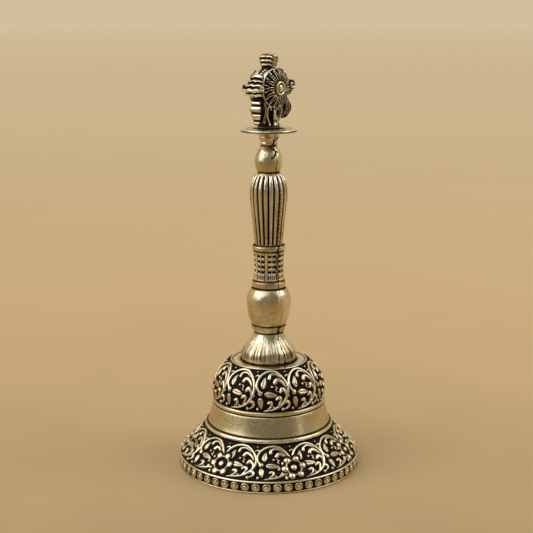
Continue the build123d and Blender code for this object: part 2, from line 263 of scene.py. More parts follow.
def relief_ring(name, line, cols, rows, field_of, height, seed):
    """A closed ring of relief on a turned line of (r, z), height mm tall at its crests.

    field_of gives the relief (0 to 1) from the azimuth, the share of the line's length, the radius
    and the length."""
    line, length = by_length(line, rows)
    slope = np.gradient(line, axis=0)
    slope /= np.linalg.norm(slope, axis=1)[:, None]
    normal = np.stack([slope[:, 1], -slope[:, 0]], axis=1)
    normal *= np.sign(normal[:, 0].mean())
    az = np.arange(cols) * tau / cols
    up = np.linspace(0, 1, rows)[:, None]
    field = field_of(az[None, :], up, line[:, 0][:, None], length)
    grain = speckle((rows, cols), 1.2, seed)
    worn = speckle((rows, cols), 9, seed + 1)
    lift = height * field + (1 - field) * 0.05 * grain
    edge = smoothstep(0, 0.02, up) * smoothstep(0, 0.02, 1 - up)
    lift = lift * edge
    r = line[:, 0][:, None] + lift * normal[:, 0][:, None]
    z = line[:, 1][:, None] + lift * normal[:, 1][:, None]
    outer = around(az[None, :], r, z)
    inner = line - BACKING * normal
    back = [around(az, *inner[k]) for k in (rows - 1, 0)]
    verts = np.vstack([outer.reshape(-1, 3), *back])
    faces = grid_faces(rows + 2, cols, wrap_rows=True, wrap_cols=True)
    # Tone: black patina on the ground and silvered wear on the crests. The flanks are also kept dark as
    # painted shade, and the peaks get a painted highlight. The field less its blur adds painted shade low on
    # the strokes and painted light on their crests.
    crest_wear_and_shade = smoothstep(0.25, 0.75, field)
    peak_highlight = smoothstep(0.74, 1.0, field)
    relief_shade_and_highlight = field - blurred(field, 5)
    tone = 0.04 + 0.07 * np.clip(grain, 0, 1) + 0.60 * crest_wear_and_shade + 0.24 * peak_highlight
    tone = tone + (0.42 * relief_shade_and_highlight + 0.10 * worn) * crest_wear_and_shade
    tone = np.clip(tone, 0, 1)
    tone = np.vstack([tone, np.zeros((2, cols))])
    return new_object(name, verts, faces, tone.ravel(), "bell_brass")


# ================ cup
# The outlines of its turned surface, outside and inside.
SKIRT_LOW = (MOUTH_R - 1.2, 4.9)
SKIRT_HIGH = (25.75, 15.6)
SKIRT_BULGE = 0.1          # mm outwards, half way up
SKIRT_MID = ((SKIRT_LOW[0] + SKIRT_HIGH[0]) / 2 + SKIRT_BULGE, (SKIRT_LOW[1] + SKIRT_HIGH[1]) / 2)
DOME_LINE = curve_through([(21.75, 27.9), (21.95, 30.5), (21.65, 33.5), (20.65, 36.8), (18.8, 39.7),
                           (16.7, 41.8), (15.4, 42.75)], 12)
# Each outline point is (radius, height, tone). The rim's radii are given inwards from the mouth.
RIM = [(MOUTH_R - inset, z, tone) for inset, z, tone in [
    (2.3, 0, 0.35), (1.2, 0, 0.4), (0.45, 0.05, 0.7), (0.12, 0.28, 0.95), (0.3, 0.62, 0.7),
    (1.15, 0.78, 0), (1.35, 1.2, 0), (1.35, 3.55, 0), (1.3, 3.85, 0), (0.95, 4.02, 0.3),
    (0.5, 4.22, 0.95), (0.42, 4.5, 1), (0.7, 4.78, 0.9), (1.15, 4.9, 0.15), (2, 4.95, 0)]]
OUTSIDE = [
    (25.3, 14.9, 0), (25.1, 15.4, 0), (25.5, 15.7, 0.35), (25.9, 16.15, 0.85), (26, 16.8, 1),
    (25.8, 17.35, 0.95), (25.3, 17.7, 0.5), (24.85, 17.85, 0), (24.6, 17.98, 0), (24.75, 18.2, 0.7),
    (24.6, 18.5, 0.8), (24.15, 19.8, 0.78), (23.65, 21.6, 0.8), (23.2, 23.4, 0.78), (22.8, 25, 0.8),
    (22.65, 25.55, 0.7), (22.3, 25.72, 0), (22.2, 25.9, 0), (22.55, 26.05, 0.6), (22.8, 26.35, 0.85),
    (22.85, 26.9, 0.92), (22.7, 27.4, 0.85), (22.3, 27.75, 0.4), (21.4, 27.95, 0)]
UNDER_DOME = [(21.2, 30.5, 0), (20.9, 33.5, 0), (19.9, 36.6, 0), (18, 39.3, 0), (16, 41.2, 0)]
CROWN = [
    (15, 42.3, 0), (15.15, 42.75, 0.3), (15.4, 43, 0.9), (15.35, 43.25, 1), (15.05, 43.3, 1),
    (14.8, 43.15, 0.6), (14.65, 43, 0.45), (14.2, 43.05, 0.93), (13.4, 43.05, 1), (12.6, 43.1, 0.95),
    (11.8, 43.15, 0.7), (11.2, 43.15, 0.05), (2, 43.05, 0), (1.6, 43, 0), (1.6, 40.7, 0.2)]
INSIDE_CUP = [
    (2.4, 40.6, 0.4), (12.5, 40.6, 0.48), (14.8, 40.2, 0.48), (17.1, 38.6, 0.5), (18.9, 36.3, 0.52),
    (19.9, 33.4, 0.52), (20.2, 30.5, 0.52), (20.2, 28, 0.52), (20.1, 25.9, 0.52), (21, 21.8, 0.52),
    (22.4, 17.8, 0.52), (24, 14.3, 0.5), (MOUTH_R - 3.1, 3.6, 0.48), (MOUTH_R - 2.75, 3.0, 0.48)]


def dense_outline(points, step):
    """The same closed outline, with its runs divided into lengths of step or a little more."""
    points = np.array(points, float)
    dense = []
    for a, b in zip(points, np.roll(points, -1, axis=0)):
        steps = max(1, int(np.hypot(*(b - a)[:2]) / step))
        dense += [a + (b - a) * k / steps for k in range(steps)]
    return np.array(dense)


def cup_surface():
    outline = dense_outline(RIM + OUTSIDE + UNDER_DOME + CROWN + INSIDE_CUP, 0.5)
    obj = new_object("cup_surface", *turned(outline, 360), "bell_brass")
    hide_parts("bell_cup")


def repeats_from(az, count, first):
    """Which of count repeats each azimuth is at, from -count/2 to count/2, and the order that sorts them.

    The repeat numbered 0 is centred first degrees to the right of the photograph's viewing angle."""
    place = (np.degrees(az) - VIEW_AZIMUTH - first) / (360 / count)
    place = (place + count / 2) % count - count / 2
    order = np.argsort(place[0])
    return place[:, order], order


DOME_MOTIFS = 10
DOME_FIRST = 3.7           # degrees to the right of the view


def dome_field(az, up, r, length):
    across, order = repeats_from(az, DOME_MOTIFS, DOME_FIRST)
    pitch = tau * r / DOME_MOTIFS
    centres = range(-DOME_MOTIFS // 2 - 1, DOME_MOTIFS // 2 + 2)
    field = motif_field(across, up, pitch, length, centres)
    return field[:, np.argsort(order)]


FLOWERS = 7
FLOWER_FIRST = 17.3        # degrees to the right of the view
FLOWER_UP = 0.33           # share of the skirt's length up to a flower's middle
FLOWER_PETALS = 6
PETAL_OUT = 3.65           # mm from a flower's middle to the middle of a petal
PETAL_R = 1.55
MIDDLE_R = 1.45            # the flower's domed middle
RING_R = 3.0               # the thin ring that joins its petals
RING_HALF_WIDTH = 0.45
# Where two scrolls lie between one flower and the next. Both lean out from under them a little.
SCROLL_PLACES = (0.255, 0.735)


def flower_field(dx, dy):
    """Six round petals, joined by a thin ring, about a domed middle. Also the area that it clears."""
    away = np.hypot(dx, dy)
    ring = np.clip(1 - ((away - RING_R) / RING_HALF_WIDTH) ** 2, 0, None) ** 0.5
    field = np.maximum(np.clip(1 - (away / MIDDLE_R) ** 2, 0, None) ** 0.5, 0.8 * ring)
    cleared = away < RING_R - 0.1
    for k in range(FLOWER_PETALS):
        turn = (k + 0.1) * tau / FLOWER_PETALS
        off = np.hypot(dx - PETAL_OUT * cos(turn), dy - PETAL_OUT * sin(turn))
        field = np.maximum(field, np.clip(1 - (off / PETAL_R) ** 2, 0, None) ** 0.5)
        cleared |= off < PETAL_R + 0.35
    return field, cleared


def skirt_field(az, up, r, length):
    place, order = repeats_from(az, FLOWERS, FLOWER_FIRST)
    flower_pitch = tau * r / FLOWERS
    flowers = range(-FLOWERS, FLOWERS + 1)
    centres = [2 * (k + shift) for k in flowers for shift in SCROLL_PLACES]
    field = motif_field(2 * place, up, flower_pitch / 2, length, centres)
    for k in flowers:
        dx = (place - k) * flower_pitch
        dy = (up - FLOWER_UP) * length
        flower, cleared = flower_field(dx, dy)
        field = np.where(cleared, flower, np.maximum(field, flower))
    return field[:, np.argsort(order)]


BEADS = 54
BEAD_R = 1.86
BEAD_LINE = [(MOUTH_R - 1.25, 0.55), (MOUTH_R - 1.25, 3.95)]


def bead_field(az, up, r, length):
    """Flat-topped beads, each with a ring cut round its domed middle."""
    pitch = tau * r / BEADS
    local = (az / tau * BEADS + 0.5) % 1 - 0.5
    across = local * pitch
    upward = (up - 0.5) * length
    d = np.hypot(across, upward) / BEAD_R
    body = np.clip(1 - d ** 6, 0, None) ** 0.5
    ring_cut = np.hypot(across, upward + 0.12) / BEAD_R
    groove = 0.42 * np.exp(-((ring_cut - 0.52) / 0.13) ** 2) * smoothstep(-0.6, 0.5, upward)
    return np.clip(0.92 * body - groove + 0.08 * np.clip(1 - d ** 2, 0, 1), 0, 1)


def bell_cup():
    cup_surface()
    relief_ring("dome_relief", DOME_LINE, 960, 98, dome_field, height=1.05, seed=3)
    skirt_line = [SKIRT_LOW, SKIRT_MID, SKIRT_HIGH]
    relief_ring("skirt_relief", skirt_line, 1176, 82, skirt_field, height=1.05, seed=5)
    relief_ring("rim_beads", BEAD_LINE, 1484, 34, bead_field, height=0.95, seed=7)


# ================ handle
DRAWN_CROWN_Z = 43.3       # the crown's height and the handle's length that the outline is drawn for
DRAWN_LENGTH = 91.4


def on_handle(points):
    """Outline points of (r, z), stretched to the CAD's handle."""
    return [(r, CROWN_Z + (z - DRAWN_CROWN_Z) * HANDLE_L / DRAWN_LENGTH) for r, z in points]


FOOT = on_handle([(11, 43.3), (11.05, 44.4), (10.9, 46.2), (10.3, 47.8), (8.95, 49.4), (7.7, 51),
                  (6.75, 52.6), (6.1, 54), (5.95, 54.7)])
CUP_RING = on_handle([(6.1, 54.9), (6.45, 55.5), (6.75, 56.5), (7, 57.3), (6.95, 57.7)])
BULB = on_handle([(7, 58.1), (7.45, 59.2), (8.15, 61.4), (8.62, 64), (8.87, 66.6), (8.78, 68.7),
                  (8.3, 70.6), (7.55, 72), (6.85, 72.9)])
LOW_RING = on_handle([(6.35, 73.1), (6.65, 73.5), (6.7, 74.5), (6.6, 75.5), (6.35, 75.9)])
LATTICE = on_handle([(6.25, 76.1), (5.95, 78.5), (5.8, 81), (5.9, 84), (6.25, 87.9)])
HIGH_RING = on_handle([(6.35, 88.1), (6.6, 88.5), (6.62, 89.5), (6.45, 90.2)])
GRIP = on_handle([(5.65, 90.6), (5.85, 93), (6.2, 96.5), (6.62, 100.5), (7.1, 104.5), (7.45, 108.5),
                  (7.53, 111.3), (7.3, 113.8), (6.65, 116), (5.55, 117.9), (4.45, 118.9)])
PEAR = on_handle([(4.5, 119.4), (5, 120.6), (5.38, 122.3), (5.42, 123.8), (5.05, 125.6),
                  (4.3, 127.3), (3.45, 128.7), (3.12, 129.3)])
NECK = on_handle([(3.3, 129.7), (3.55, 130.4), (3.35, 131), (3.45, 131.5), (4.05, 132.4),
                  (3.95, 133.2), (4.15, 134), (4.4, 134.7)])
HANDLE_PARTS = [FOOT, CUP_RING, BULB, LOW_RING, LATTICE, HIGH_RING, GRIP, PEAR, NECK]


def handle_outline(rows):
    """Radius at evenly spaced heights, and how dark each height is from the joints between mouldings."""
    z = np.linspace(CROWN_Z, PLATE_Z0, rows)
    dense = np.vstack([curve_through(part, 8) for part in HANDLE_PARTS])
    r = np.interp(z, dense[:, 1], dense[:, 0])
    joint = np.zeros(rows)
    for below, above in zip(HANDLE_PARTS[:-1], HANDLE_PARTS[1:]):
        middle = (below[-1][1] + above[0][1]) / 2
        joint = np.maximum(joint, np.exp(-((z - middle) / 0.28) ** 2))
    return z, r, joint


SEAM_AZIMUTH = -17.0
REEDS = 20
BAYS = 8
# Heights of the lattice's rows of windows, and of the row of short dashes under them.
WINDOW_ROWS = [86.2, 84.05, 81.95, 79.9]
DASH_ROW = 77.7
DASHES = 48
# Cracks in the casting, as (azimuth, height).
CRACKS = [[(6, 132.8), (-15, 131), (-41, 128.8), (-20, 128.2), (-18, 126.6), (-39, 124.8)],
          [(-18, 126.8), (-8, 127.4), (-1, 127)],
          [(-10, 57.5), (-18, 57.1), (-19, 56.2), (-13, 55.7), (-15, 54.8)]]


def crack_strength(az_deg, z, r):
    """1 on a crack's line, falling off over a quarter of a millimetre."""
    near = np.full(np.broadcast(az_deg, z).shape, FAR_SQUARED)
    for crack in CRACKS:
        for azimuth, height in curve_through(crack, 14):
            across = ((az_deg - azimuth + 180) % 360 - 180) * pi / 180 * r
            near = np.minimum(near, across ** 2 + (z - height) ** 2)
    return np.exp(-near / 0.27 ** 2)


FOOT_LINES = 190
FOOT_LINE_WIDTH = 0.62     # degrees
PLAIN_TONE = 0.84          # of a smooth turned surface
WINDOW_OFF = 0.19          # of a bay, from its middle to the middle of each window of a pair


def between(z, low, low_full, high_full, high):
    """1 from low_full to high_full, falling smoothly to 0 at low and high."""
    return smoothstep(low, low_full, z) * smoothstep(high, high_full, z)


def bulb_share(z):
    return between(z, 57.5, 59.0, 71.5, 73.0)


def handle_field(az, z, r):
    """Depth below the turned surface, and tone, at each azimuth and height."""
    depth = np.zeros(np.broadcast(az, z).shape)
    tone = np.full(depth.shape, PLAIN_TONE)
    az_deg = np.degrees(az)
    turn = az_deg - SEAM_AZIMUTH

    # Foot: fine uneven lines chased up the flare.
    lines = np.random.default_rng(21).uniform(0, 360, FOOT_LINES)
    strength = np.random.default_rng(22).uniform(0.25, 1, FOOT_LINES)
    comb = np.zeros(az.shape)
    for angle, weight in zip(lines, strength):
        off = (az_deg - angle + 180) % 360 - 180
        comb = np.maximum(comb, weight * np.exp(-(off / FOOT_LINE_WIDTH) ** 2))
    on_foot = between(z, 44.6, 45.6, 50.5, 54.0)
    depth = depth + 0.15 * comb * on_foot
    tone = tone + on_foot * (0.16 - 0.62 * comb * smoothstep(52.5, 47.0, z) - 0.22 * comb)
    tone = tone - 0.22 * between(z, 43.3, 45.5, 46.5, 49.5) * (0.4 + 0.6 * comb)
    tone = tone - 0.5 * smoothstep(44.6, 43.5, z)

    # Lattice: bays of paired sunk windows, painted black as their shade, with upright bars between them that
    # stay bright.
    low = LATTICE[0][1] + 0.2
    high = LATTICE[-1][1] - 0.2
    inside = between(z, low - 0.1, low + 0.2, high - 0.2, high + 0.1)
    bay = (turn / 360 * BAYS) % 1 - 0.5
    bay_mm = tau * r / BAYS
    window_mm = np.abs(np.abs(bay) - WINDOW_OFF) * bay_mm
    from_bar_mm = (0.5 - np.abs(bay)) * bay_mm
    window_shade = np.zeros(depth.shape)
    for height in WINDOW_ROWS:
        sill = 0.16 * np.cos(4 * pi * (np.abs(bay) - WINDOW_OFF) / 0.3)
        row = smoothstep(0.66, 0.40, np.abs(z - height - sill))
        window_shade = np.maximum(window_shade, row * smoothstep(0.78, 0.60, window_mm))
    dash = smoothstep(0.15, 0.55, np.sin(np.radians(turn) * DASHES))
    dash = dash * smoothstep(0.80, 0.55, np.abs(z - DASH_ROW)) * smoothstep(0.44, 0.40, np.abs(bay))
    window_shade = np.maximum(window_shade, dash) * inside
    bar_edge = np.exp(-((from_bar_mm - 0.62) / 0.15) ** 2) * inside
    bar = smoothstep(0.55, 0.35, from_bar_mm) * inside
    depth = depth + 0.50 * window_shade + 0.18 * bar_edge - 0.10 * bar
    # Painted shade: the windows and dashes are painted black.
    tone = tone - 0.95 * window_shade - 0.50 * bar_edge + 0.14 * bar + 0.10 * inside

    # Grip: half-round reeds with black grooves that end in arches under a smooth cap.
    reed = (turn / 360 * REEDS) % 1
    off_mm = np.minimum(reed, 1 - reed) * tau * r / REEDS
    reach = between(z, 90.5, 91.3, 117.0, 118.6)
    on_reeds = between(z, 90.5, 92.0, 117.0, 119.0)
    depth = depth + reach * (0.62 * np.exp(-(off_mm / 0.40) ** 2) + 0.16 * np.abs(reed * 2 - 1) ** 2)
    tone = tone - reach * 1.15 * np.exp(-(off_mm / 0.36) ** 4)
    tone = tone + 0.07 * on_reeds + 0.10 * between(z, 114.5, 117.0, 118.3, 119.0)

    # Seam: an uneven double line where the halves were brazed, black through the lattice.
    wander = 0.22 * np.sin(z * 1.9) + 0.16 * np.sin(z * 4.7 + 1) + 0.08 * np.sin(z * 11.3)
    off = ((turn + 90) % 180 - 90) * pi / 180 * r
    on_grip = between(z, 91, 93, 110, 114)
    on_lattice = between(z, 75.5, 76.5, 89.5, 91.2)
    on_bulb = bulb_share(z)
    first = np.exp(-((off - wander) / (0.20 + 0.16 * on_lattice)) ** 2)
    second = np.exp(-((off - 0.62 + 0.8 * wander) / 0.17) ** 2) * on_grip
    burr = np.exp(-((off + 0.75 + 0.6 * wander) / 0.30) ** 2) * on_grip * (0.5 + 0.5 * np.sin(z * 5.1))
    level = 0.55 + 0.45 * np.clip(np.sin(z * 2.3) + np.sin(z * 5.9), -1, 1)
    level = np.clip(level + on_lattice, 0, 1) * (1 - 0.85 * on_bulb)
    tone = tone + 0.02 * on_bulb
    depth = depth + 0.16 * first * level + 0.12 * second - 0.14 * burr
    tone = tone - 0.9 * first * level - 0.75 * second * (0.5 + 0.5 * np.sin(z * 3.7)) - 0.15 * burr

    # Cracks, and a dark blotch where the pear meets the grip by the seam.
    crack = crack_strength(az_deg, z, r)
    blotch = np.exp(-((z - 119.2) / 0.55) ** 2) * np.exp(-((turn + 2) / 17) ** 2)
    depth = depth + 0.18 * crack + 0.10 * blotch
    tone = tone - 1.0 * crack - 0.9 * blotch
    return depth, tone


HANDLE_ROWS = 396
HANDLE_COLS = 239


def handle_half(side):
    """side is +1 for the half on the +X side of the seam and -1 for the other."""
    z, r, joint = handle_outline(HANDLE_ROWS)
    start = radians(SEAM_AZIMUTH) + (0 if side > 0 else pi)
    az = (start + np.linspace(0, pi, HANDLE_COLS))[None, :]
    z, r, joint = z[:, None], r[:, None], joint[:, None]
    depth, tone = handle_field(az, z, r)
    grain = speckle(depth.shape, cells=1.3, seed=31 + side)
    # Pits crowd at the top of the foot and are few on the bulb.
    foot_top = between(z, 50.5, 52.0, 54.5, 56.0)
    pits = smoothstep(0.55, 1.0, grain + 0.15 * foot_top) * (1 - 0.7 * bulb_share(z))
    mottle = speckle(depth.shape, cells=10, seed=41 + side)
    depth = depth + 0.05 * pits + 0.03 * mottle + 0.10 * joint
    tone = np.clip(tone - 0.9 * joint - 0.30 * pits + 0.08 * mottle, 0, 1)
    points = around(az, r - depth, z).reshape(-1, 3)
    faces = grid_faces(HANDLE_ROWS, HANDLE_COLS)
    # The flat face along the seam, then the two ends.
    first = np.arange(HANDLE_ROWS - 1) * HANDLE_COLS
    last = first + HANDLE_COLS - 1
    faces += np.stack([first + HANDLE_COLS, last + HANDLE_COLS, last, first], axis=1).tolist()
    faces += end_faces(HANDLE_ROWS, HANDLE_COLS)
    name = "handle_right_casting" if side > 0 else "handle_left_casting"
    obj = new_object(name, points, faces, tone.ravel(), "handle_brass")
    obj.data.polygons.foreach_set("use_smooth", [len(p.vertices) == 4 for p in obj.data.polygons])
    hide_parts("handle_right_half" if side > 0 else "handle_left_half")


# ================ plate
def plate():
    mid = (PLATE_Z0 + PLATE_Z1) / 2
    half = (PLATE_Z1 - PLATE_Z0) / 2
    # Each point is (radius, height as a share of half the thickness, tone). The rim has a groove.
    under = [(0.02, -1, 0.3), (4, -1, 0.2), (5.2, -1, 0.55), (8.5, -1, 0.7)]
    rim = [(PLATE_R - inset, level, tone) for inset, level, tone in [
        (0.5, -1, 0.8), (0.1, -0.8, 1), (0, -0.6, 0.95), (0.05, -0.4, 0.2), (0.25, -0.25, 0),
        (0.05, -0.05, 0.3), (0, 0.2, 1), (0.2, 0.5, 1), (0.7, 0.8, 1), (1.5, 1, 1)]]
    # The top turns dark from 5.4 mm in to the stem's foot: painted shadow round the foot.
    top = [(8.9, 1, 0.9), (8.6, 0.75, 0.15), (8.3, 1, 0.95), (6.8, 1, 0.8), (5.4, 1, 0.2), (4, 1, 0),
           (0.02, 1, 0)]
    outline = [(r, mid + level * half, tone) for r, level, tone in under + rim + top]
    turning = turned(dense_outline(outline, 0.4), 192, wobble=0.05)
    obj = new_object("plate_disc", *turning, "handle_brass")
    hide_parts("top_plate")


# ================ finial
WHEEL_Z = TIP_Z - 13.3     # middle of the wheel
PETALS = 16
DRUM_BEADS = 36
DRUM_BEADS_R = 7.0


class Pieces:
    """Gathers several closed meshes into one object."""

    def __init__(self):
        self.verts = []
        self.faces = []
        self.tone = []
        self.count = 0

    def add(self, verts, faces, tone):
        verts = np.asarray(verts, float).reshape(-1, 3)
        self.verts.append(verts)
        self.faces += [[i + self.count for i in face] for face in faces]
        self.tone.append(np.broadcast_to(np.asarray(tone, float).ravel(), (len(verts),)))
        self.count += len(verts)

    def build(self, name):
        tone = np.clip(np.concatenate(self.tone), 0, 1)
        obj = new_object(name, np.vstack(self.verts), self.faces, tone, "finial_brass")
        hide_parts("chakra_finial")


def rows_closed(rows, cols):
    """Faces of a stack of rings, with a face at each end."""
    return grid_faces(rows, cols, wrap_cols=True) + end_faces(rows, cols)


THINNEST_ROD = 0.03        # mm, half width


def rod(pieces, line, up, sides, groove=0.0, tone=0.95, per_span=6, lit=(-0.5, 0.35)):
    """A solid along a line of (x, y, z, half width, half height). up says which side of it is its top.

    groove is how deep a cleft runs along the top, as a share of the half height. lit gives the two
    heights on its section between which painted shade on its underside turns to a painted highlight on its
    top."""
    line = curve_through(line, per_span)
    middle = line[:, :3]
    along = np.gradient(middle, axis=0)
    along /= np.linalg.norm(along, axis=1)[:, None]
    side = np.cross(along, np.array(up, float))
    side /= np.linalg.norm(side, axis=1)[:, None] + 1e-9
    top = np.cross(side, along)
    angle = np.arange(sides) * tau / sides
    wide = np.maximum(line[:, 3], THINNEST_ROD)[:, None] * np.cos(angle)[None, :]
    cleft = groove * np.exp(-(np.cos(angle) / 0.42) ** 2) * (np.sin(angle) > 0)
    tall = np.maximum(line[:, 4], THINNEST_ROD)[:, None] * (np.sin(angle) - cleft)[None, :]
    verts = middle[:, None] + side[:, None] * wide[..., None] + top[:, None] * tall[..., None]
    # Painted shading: the side towards up is painted bright and the side away from it dark; the cleft along
    # a groove is black.
    painted_shading = tone * smoothstep(lit[0], lit[1], np.sin(angle)) - 0.95 * (cleft > 0.35 * groove) * (groove > 0)
    pieces.add(verts, rows_closed(len(middle), sides), np.tile(np.clip(painted_shading, 0, 1), (len(middle), 1)))


def wheel():
    """Two domed faces with a boss and two layers of petals each, on a drum with a beaded ring."""
    # The outline is (radius, distance in front, tone). It's turned about the axis, then tipped over.
    front = [(0.02, 6.55, 1), (0.7, 6.5, 1), (1.15, 6.3, 0.95), (1.42, 5.95, 0.7), (1.6, 5.6, 0.05),
             (1.8, 5.6, 0.05), (1.95, 5.95, 0.8), (2.2, 6.25, 1), (2.5, 6.2, 1), (2.75, 5.9, 0.7),
             (2.9, 5.3, 0.1), (2.95, 4.7, 0), (3.6, 4.55, 0), (4.8, 4.1, 0), (5.8, 3.5, 0),
             (6.5, 2.95, 0), (6.85, 2.7, 0), (7, 2.9, 0.6), (7.15, 3.15, 1), (7.4, 3.15, 1),
             (7.5, 2.9, 0.95), (7.5, 1.6, 0.9), (7.35, 1.35, 0.4), (7, 1.2, 0), (6.9, 0.5, 0)]
    back = [(r, -d, tone) for r, d, tone in reversed(front)]
    pieces = Pieces()
    points, faces, tone = turned(dense_outline(front + back, 0.35), 144)
    x, y, z = points.T
    pieces.add(np.stack([x, -z, WHEEL_Z - y], axis=1), faces, tone)
    for k in range(DRUM_BEADS):
        turn = k * tau / DRUM_BEADS
        x = DRUM_BEADS_R * sin(turn)
        z = WHEEL_Z + DRUM_BEADS_R * cos(turn)
        bead = [(x, -d, z, w, w) for d, w in ((-0.5, 0.1), (-0.35, 0.4), (0, 0.52), (0.35, 0.4), (0.5, 0.1))]
        rod(pieces, bead, (sin(turn), 0, cos(turn)), sides=8, per_span=2)
    pieces.build("wheel_body")

    upper = [(2.8, 5.2, 0.14, 0.3), (3.7, 5.55, 0.42, 0.5), (4.9, 5.55, 0.76, 0.6),
             (6.2, 5.05, 0.6, 0.52), (7.35, 4.15, 0.05, 0.1)]
    lower = [(5, 4.15, 0.1, 0.2), (5.8, 4.05, 0.3, 0.3), (6.5, 3.75, 0.36, 0.32),
             (7.1, 3.45, 0.24, 0.24), (7.45, 3.2, 0.04, 0.08)]
    for face, name in ((1, "front_petals"), (-1, "back_petals")):
        pieces = Pieces()
        for k in range(2 * PETALS):
            turn = k * pi / PETALS
            layer = lower if k % 2 else upper
            line = [(r * sin(turn), -face * d, WHEEL_Z + r * cos(turn), w, h) for r, d, w, h in layer]
            rod(pieces, line, (0, -face, 0), groove=0.95 if layer is upper else 0.0, sides=20,
                per_span=5, lit=(0.1, 0.65))
        pieces.build(name)


WALL_ROWS = 14             # from the front edge of a flame to its back edge


def flame(outline, half, out, side, phase, neck):
    """A nest of ridges round one outline of (outwards, sideways, tone), half mm deep each way.

    out and side say which way outwards and sideways point from the wheel's middle, in X and Z.
    phase shifts the ripple on its edge. neck is its depth next to the wheel, as a share of its
    depth further out."""
    line = curve_through(outline + outline[:1], 5)[:-1]
    middle = line[:, :2].mean(axis=0)
    root = line[:, 0].min()
    cap = [(0.06, 0.5, 0.9), (0.2, 0.52, 0.95), (0.3, 0.3, 0.1), (0.38, 0.3, 0.1), (0.48, 0.58, 1),
           (0.6, 0.55, 0.95), (0.68, 0.22, 0.05), (0.76, 0.22, 0.05), (0.86, 0.42, 1), (0.95, 0.3, 0.95),
           (1, 0, 0.7)]
    levels = [(scale, -half - rise, tone, 0) for scale, rise, tone in cap]
    levels += [(1.0 + 0.015 * sin(k * pi / WALL_ROWS), -half + 2 * half * k / WALL_ROWS, 1.0, 1)
               for k in range(1, WALL_ROWS)]
    levels += [(scale, half + rise, tone, 0) for scale, rise, tone in reversed(cap)]
    verts = []
    tones = []
    for scale, y, tone, on_wall in levels:
        flat = middle + scale * (line[:, :2] - middle)
        # The flame is fullest half way from front to back, so its ridges bow.
        flat = flat * (1, 1 - 0.08 * (y / half) ** 2)
        flat[:, 0] -= 0.08 * (flat[:, 0] - root) * (y / half) ** 4
        depth = y * (neck + (1 - neck) * smoothstep(root + 1.5, root + 5.0, flat[:, 0]))
        wave = 0.16 * on_wall * np.sin(1.9 * y + phase) * smoothstep(7.2, 8.5, np.abs(flat[:, 0]))
        x = flat[:, 0] * out[0] + (flat[:, 1] + wave) * side[0]
        z = flat[:, 0] * out[1] + (flat[:, 1] + wave) * side[1]
        verts.append(np.stack([x, depth, WHEEL_Z + z], axis=1))
        tones.append(tone * line[:, 2] if on_wall or scale > 0.9 else np.full(len(line), tone))
    pieces = Pieces()
    pieces.add(np.array(verts), rows_closed(len(levels), len(line)), np.array(tones))
    return pieces


def volute(pieces, centre, y, turn_way, start, radius):
    """A raised spiral on the front or back of a flame."""
    line = []
    for k in range(12):
        angle = start + turn_way * k * 0.62
        r = radius * (1 - k / 13)
        line.append((centre[0] + r * sin(angle), y, centre[1] + r * cos(angle), 0.36, 0.42))
    rod(pieces, line, (0, -1 if y < 0 else 1, 0), sides=8, per_span=3)


TOP_FLAME = [
    (6.9, 1.5, 0), (7.7, 1.3, 0), (8.2, 1.6, 0.2), (8.9, 2.2, 0.95), (9.6, 1.85, 0), (10.4, 2.35, 1),
    (11.2, 1.9, 0), (12, 2.05, 1), (12.5, 1.45, 0.2), (12.95, 1, 0.9), (13.2, 0, 0.95)]
SIDE_FLAME = [
    (5, -3.4, 0), (6.4, -3.6, 0), (7.6, -3.4, 0.3), (8.8, -3.1, 0.9), (9.7, -2.4, 1),
    (9.4, -1.65, 0), (10.8, -1.2, 0.9), (11.8, -0.5, 1), (11.3, 0, 1), (9.5, 0.5, 0),
    (10.3, 1.15, 1), (9.8, 1.65, 0.8), (8.1, 2.15, 0), (8.9, 2.8, 1), (8.3, 3.25, 0.8),
    (7.1, 3.75, 0), (7.9, 4.4, 0.95), (7.4, 5.15, 1), (6.5, 5.5, 0.6), (5.4, 5.2, 0), (5, 4.4, 0)]
UPPER_HALF = 1.65          # sideways: where a side flame's upper half, which may be taller, starts


def curl(pieces, x, z, face, way, radius):
    """A dark round knob on a flame's front or back, with a bright spiral on it."""
    knob = [(x, face * 2.2, z, radius, radius), (x, face * 3.8, z, radius, radius),
            (x, face * 4.25, z, 0.8 * radius, 0.8 * radius), (x, face * 4.35, z, 0.3 * radius, 0.3 * radius)]
    rod(pieces, knob, (0, 0, 1), sides=28, tone=0.15)
    volute(pieces, (x, z), face * 4.3, way, 0.5 * way, radius)


def flames():
    mirrored = [(out, -aside, tone) for out, aside, tone in reversed(TOP_FLAME[:-1])]
    pieces = flame(TOP_FLAME + mirrored, half=3.1, out=(0, 1), side=(1, 0), phase=0.4, neck=0.75)
    pieces.build("top_flame")
    # (side, name, how much taller its upper half is, curl's height above the hub, curl's radius)
    sides = [(-1, "left_flame", 1.0, 0.2, 1.25), (1, "right_flame", 1.45, 1.1, 1.8)]
    for way, name, taller, curl_up, curl_radius in sides:
        outline = [(out, aside + max(0, aside - UPPER_HALF) * (taller - 1), tone)
                   for out, aside, tone in SIDE_FLAME]
        pieces = flame(outline, half=4.2, out=(way, 0), side=(0, 1), phase=1.0 + way, neck=0.52)
        for face in (-1, 1):
            curl(pieces, way * 9.3, WHEEL_Z + curl_up, face, way, curl_radius)
        pieces.build(name)


